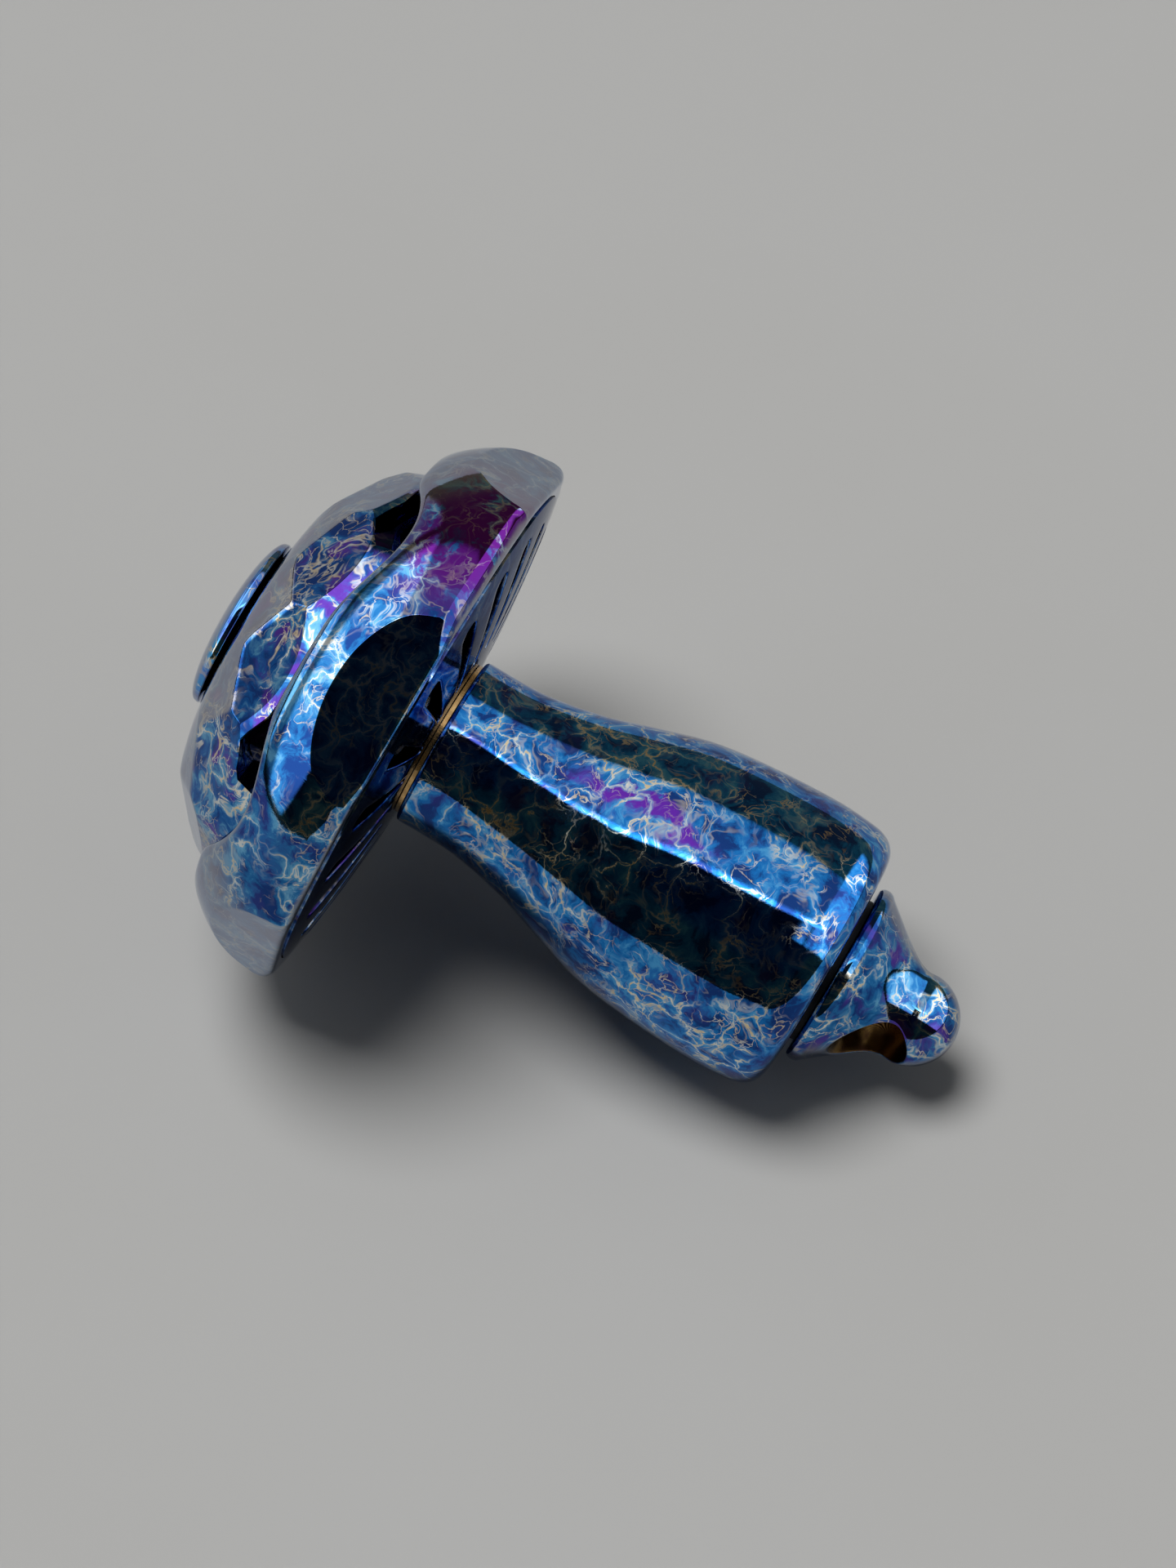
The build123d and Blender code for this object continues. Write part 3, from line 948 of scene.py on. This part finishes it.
SOFT_BOX_AZIMUTH = 46
SOFT_BOX_ELEVATION = 25
SOFT_BOX_STRENGTH = 3.6
BAND_STRENGTH = 1.8
LOW_LIGHT_STRENGTH = 1.5
WALL_AZIMUTH = 110
WALL_STRENGTH = 0.12
UNDER_TABLE_STRENGTH = 0.4
TABLE_SHARE = 0.03
TABLE_AMBIENT = 0.006
AFTER_TABLE_LOSS = 0.85
TABLE_LIGHT_AZIMUTH = 30
TABLE_LIGHT_ELEVATION = 29
TABLE_LIGHT_ENERGY = 2.3
TABLE_LIGHT_SPREAD = 30
BACKDROP_STRENGTH = 0.42
BACKDROP = rgb(0.97, 0.97, 0.96)
LIGHT_WHITE = rgb(0.97, 0.985, 1.0)
ROOM_WARM = rgb(1.0, 0.84, 0.56)
ROOM_COOL = rgb(0.70, 0.78, 1.0)


def direction(azimuth, elevation):
    """Unit vector towards a place in the surroundings."""
    a, e = radians(azimuth - 90), radians(elevation)
    return Vector((cos(a) * cos(e), sin(a) * cos(e), sin(e)))


def soft_box(n, towards):
    """Large light to the right of the camera, brightest along its left side."""
    middle = direction(SOFT_BOX_AZIMUTH, SOFT_BOX_ELEVATION)
    side = direction(SOFT_BOX_AZIMUTH + 90, 0)
    up = side.cross(middle).normalized()
    depth = n.dot(towards, middle)
    across = n.math("DIVIDE", n.dot(towards, side), n.largest(depth, 0.001))
    along = n.math("DIVIDE", n.dot(towards, up), n.largest(depth, 0.001))
    width = n.times(n.span(across, -0.56, -0.50), n.fading(across, 0.46, 0.62))
    height = n.times(n.span(along, -0.68, -0.6), n.fading(along, 1.1, 1.5))
    box = n.times(width, height, n.span(depth, 0.0, 0.05))
    glow = n.minus(n.span(across, -0.5, -0.40, 1.0, 0.24), n.span(across, -0.3, 0.5, 0.0, 0.06, "LINEAR"))
    return n.times(box, glow, SOFT_BOX_STRENGTH)


def high_band(n, height, sideways, front, over_table):
    """Pale light high up, weaker straight overhead, to the left, and behind on the right."""
    overhead = n.span(n.math("ABSOLUTE", n.plus(front, 0.02)), 0.05, 0.12, 0.2, 1.0)
    behind = n.span(sideways, 0.12, 0.3, 1.0, 0.2)
    side_fade = n.between(n.span(front, -0.06, 0.0), behind, 1.0)
    left_fade = n.span(sideways, -0.85, -0.5, 0.3, 1.0)
    band = n.times(n.span(height, 0.62, 0.68), n.times(overhead, side_fade))
    return n.times(band, left_fade, n.times(over_table, BAND_STRENGTH))


def low_light(n, height, sideways, front, over_table):
    """Light from low down, from just right of the camera round to the right side and a little behind."""
    bearing = n.math("ARCTAN2", sideways, front)
    width = n.times(n.span(bearing, 0.08, 0.13), n.fading(bearing, 1.75, 1.9))
    return n.times(width, n.times(n.span(height, -0.22, -0.17, LOW_LIGHT_STRENGTH, 0.0), over_table))


def dim_room(n, facing_table, front):
    """The dark room, with paler light from below the table's level."""
    under_table = n.span(facing_table, -0.25, -0.05, UNDER_TABLE_STRENGTH, 0.0)
    return n.plus(n.span(front, 0.86, 0.98, 0.038, 0.018), under_table)


def surroundings_strength(n, mirrored, room):
    """The metal mirrors the lights and the room in full, and the table gets a small share of the lights.

    What the metal would throw onto the table is weakened.
    """
    diffuse = n.ray("Is Diffuse Ray")
    on_table = n.plus(n.times(mirrored, TABLE_SHARE), TABLE_AMBIENT)
    after_table = n.times(n.math("GREATER_THAN", n.ray("Diffuse Depth"), 0.5), n.minus(1.0, diffuse))
    strength = n.between(diffuse, n.plus(mirrored, room), on_table)
    return n.times(strength, n.minus(1.0, n.times(after_table, AFTER_TABLE_LOSS)))


def studio_world():
    """Soft box, high band, low light and a dim wall in a dark room. The camera sees a plain pale backdrop."""
    world = bpy.data.worlds.new("studio")
    bpy.context.scene.world = world
    world.use_nodes = True
    n = Nodes(world.node_tree)
    towards = n.add("ShaderNodeTexCoord", output="Generated")
    height = n.up_part(towards)
    sideways = n.dot(towards, (1.0, 0.0, 0.0))
    front = n.dot(towards, (0.0, -1.0, 0.0))
    facing_table = n.dot(towards, FLOOR_NORMAL)
    over_table = n.span(facing_table, 0.01, 0.05)
    wall = n.times(n.span(n.dot(towards, direction(WALL_AZIMUTH, 0)), 0.45, 0.9), WALL_STRENGTH)
    band = high_band(n, height, sideways, front, over_table)
    low = low_light(n, height, sideways, front, over_table)
    mirrored = n.largest(soft_box(n, towards), low, band, wall)
    strength = surroundings_strength(n, mirrored, dim_room(n, facing_table, front))
    room_colour = n.mix(n.span(front, 0.86, 0.98), ROOM_WARM, ROOM_COOL)
    colour = n.mix(n.span(mirrored, 0.13, 0.3), room_colour, LIGHT_WHITE)
    seen = n.ray("Is Camera Ray")
    background = n.add("ShaderNodeBackground", {"Color": n.mix(seen, colour, BACKDROP),
                                                "Strength": n.between(seen, strength, BACKDROP_STRENGTH)})
    n.add("ShaderNodeOutputWorld", {0: background})


def add_table_light():
    """Soft light from near the soft box, which the mirror finish doesn't show. It casts the shadow."""
    lamp = bpy.data.lights.new("table_light", "SUN")
    lamp.energy = TABLE_LIGHT_ENERGY
    lamp.angle = radians(TABLE_LIGHT_SPREAD)
    holder = bpy.data.objects.new("table_light", lamp)
    towards_light = direction(TABLE_LIGHT_AZIMUTH, TABLE_LIGHT_ELEVATION)
    holder.rotation_euler = towards_light.to_track_quat("Z", "Y").to_euler()
    holder.visible_glossy = False
    bpy.context.scene.collection.objects.link(holder)


def lowest_along(axis):
    """How far the shown object reaches against an axis, in metres."""
    return min(vertex.co.dot(axis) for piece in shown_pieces() for vertex in piece.data.vertices)


def add_floor():
    """Square table top that the object's lowest point touches."""
    level = lowest_along(FLOOR_NORMAL)
    turn = FLOOR_NORMAL.to_track_quat("Z", "Y").to_matrix()
    half = FLOOR_HALF_SIZE
    corners = [turn @ Vector((x, y, 0)) + FLOOR_NORMAL * level
               for x, y in ((-half, -half), (half, -half), (half, half), (-half, half))]
    mesh = bpy.data.meshes.new("table")
    mesh.from_pydata([tuple(c) for c in corners], [], [(0, 1, 2, 3)])
    mesh.materials.append(table_paint())
    floor = bpy.data.objects.new("table", mesh)
    bpy.context.scene.collection.objects.link(floor)
    floor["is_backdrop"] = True


def add_camera():
    """Almost level with the object and rolled, so that the object lies slantwise in the picture."""
    tilt = radians(CAMERA_ELEVATION)
    back = Vector((0, -cos(tilt), sin(tilt)))
    right = Vector((1, 0, 0))
    up = back.cross(right)
    roll = radians(CAMERA_ROLL)
    image_right = right * cos(roll) + up * sin(roll)
    image_up = up * cos(roll) - right * sin(roll)
    camera = bpy.data.cameras.new("camera")
    camera.lens = CAMERA_LENS
    camera.clip_start = 0.01
    camera.clip_end = 10
    holder = bpy.data.objects.new("camera", camera)
    turn = Matrix((image_right, image_up, back)).transposed().to_4x4()
    turn.translation = (CAMERA_TARGET + back * CAMERA_DISTANCE) * MM
    holder.matrix_world = turn
    bpy.context.scene.collection.objects.link(holder)
    bpy.context.scene.camera = holder


def paint_packed_pieces(subparts, nodes, paints):
    """Gives each CAD piece the paint of its slot."""
    for part in subparts:
        materials = nodes[part["node"]].data.materials
        materials.clear()
        materials.append(paints[part["material_slot"]])


# Scene

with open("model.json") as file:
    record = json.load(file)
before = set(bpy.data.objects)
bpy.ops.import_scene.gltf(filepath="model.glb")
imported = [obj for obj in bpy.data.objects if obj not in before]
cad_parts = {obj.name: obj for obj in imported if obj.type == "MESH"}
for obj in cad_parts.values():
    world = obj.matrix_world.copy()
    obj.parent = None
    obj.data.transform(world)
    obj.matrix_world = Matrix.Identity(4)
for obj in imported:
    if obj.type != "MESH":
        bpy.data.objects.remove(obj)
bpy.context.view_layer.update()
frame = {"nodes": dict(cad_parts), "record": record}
bpy.context.scene.view_settings.view_transform = "Standard"

dome_paint = dome_titanium()
gill_paint = gill_titanium()
# Nearly black painted shade for the slots and the wall under the petals
painted_shade_paint = painted_shade_titanium()
paint_packed_pieces(frame["record"]["subparts"], frame["nodes"], {
    "anodised_titanium": dome_paint,
    "dark_titanium": gill_paint,
    "bare_titanium": bare_titanium(),
    "bronze": bronze(),
    "bearing_steel": bearing_steel(),
    "black_rubber": black_rubber(),
})

skirt(skirt_titanium())
petal_dome(dome_paint, painted_shade_paint)
stem(stem_titanium())
crown(crown_titanium())
tail_knob(knob_titanium(), cord_hole_gold())
gill_plate(gill_paint, painted_shade_paint)

add_floor()
studio_world()
add_table_light()
add_camera()
